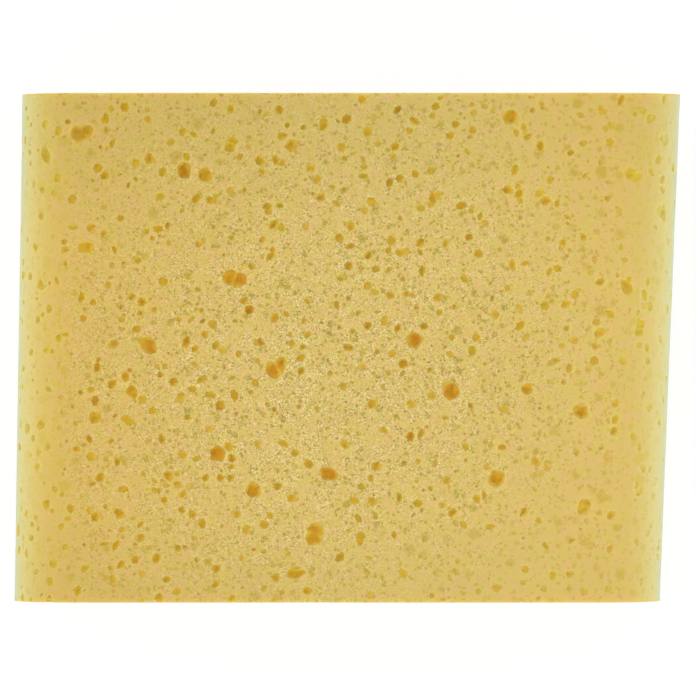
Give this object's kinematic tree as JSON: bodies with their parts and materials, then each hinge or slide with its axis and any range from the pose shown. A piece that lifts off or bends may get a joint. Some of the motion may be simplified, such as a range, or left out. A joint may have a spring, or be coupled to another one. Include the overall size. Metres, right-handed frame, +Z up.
{
  "type": "cleaning sponge",
  "caption": "Block of open-cell foam with two rounded long sides, two plain cut ends and open pores all over, for washing and wiping.",
  "frame": {"origin": "centre of the bounding box on the large resting face", "axes": "+X across the two rounded sides, +Y from one cut end to the other, +Z up through the thickness"},
  "size_m": [0.1644, 0.125, 0.05],
  "materials": {
    "foam": "matt open-cell foam"
  },
  "bodies": {
    "root": {"sponge": "foam"}
  },
  "joints": []
}
